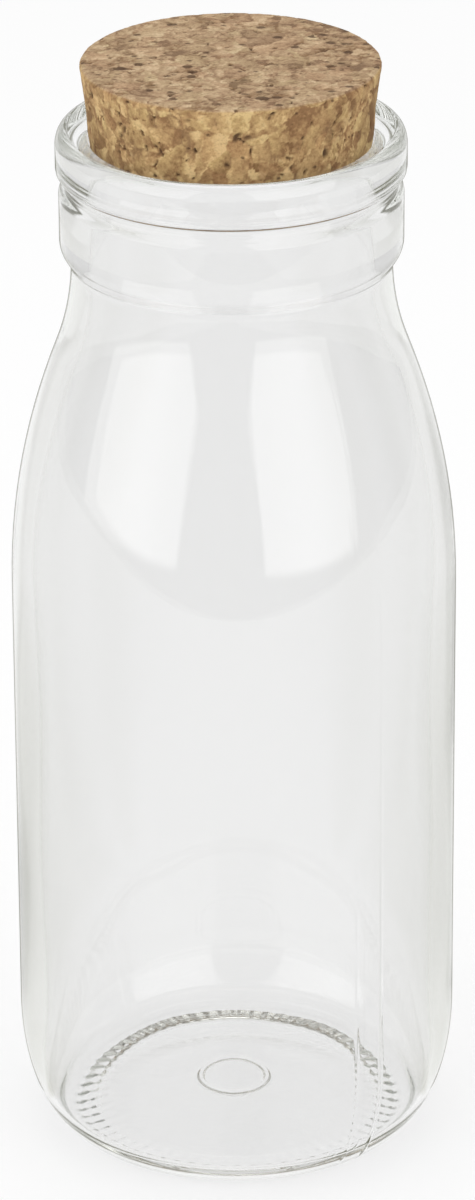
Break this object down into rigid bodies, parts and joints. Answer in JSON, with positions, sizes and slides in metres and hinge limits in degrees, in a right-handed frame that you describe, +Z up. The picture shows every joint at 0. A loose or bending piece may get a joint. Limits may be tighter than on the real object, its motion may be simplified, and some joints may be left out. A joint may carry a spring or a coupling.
{
  "type": "glass bottle with cork",
  "caption": "Small round clear glass bottle with a sloping shoulder, short collared neck and thick rounded lip, closed by a tapered cork stopper that pulls straight out.",
  "frame": {"origin": "on the bottle's axis, at the level of the rib ends that the bottle stands on", "axes": "+Z up along the bottle's axis, from the base to the cork; +X passes through the middle of one base rib"},
  "size_m": [0.055, 0.055, 0.1405],
  "materials": {
    "clear_glass": "clear pressed and blown glass, polished, with a faint grey-green tint in its thick parts",
    "pressed_cork": "bare cork granules pressed and glued together, matt, with small dark pits"
  },
  "bodies": {
    "bottle": {"glass_bottle": "clear_glass"},
    "cork": {"cork_stopper": "pressed_cork"}
  },
  "joints": [
    {"name": "cork_pull", "type": "slide", "parent": "bottle", "child": "cork", "axis": [0, 0, 1], "range_m": [0, 0.04]}
  ]
}
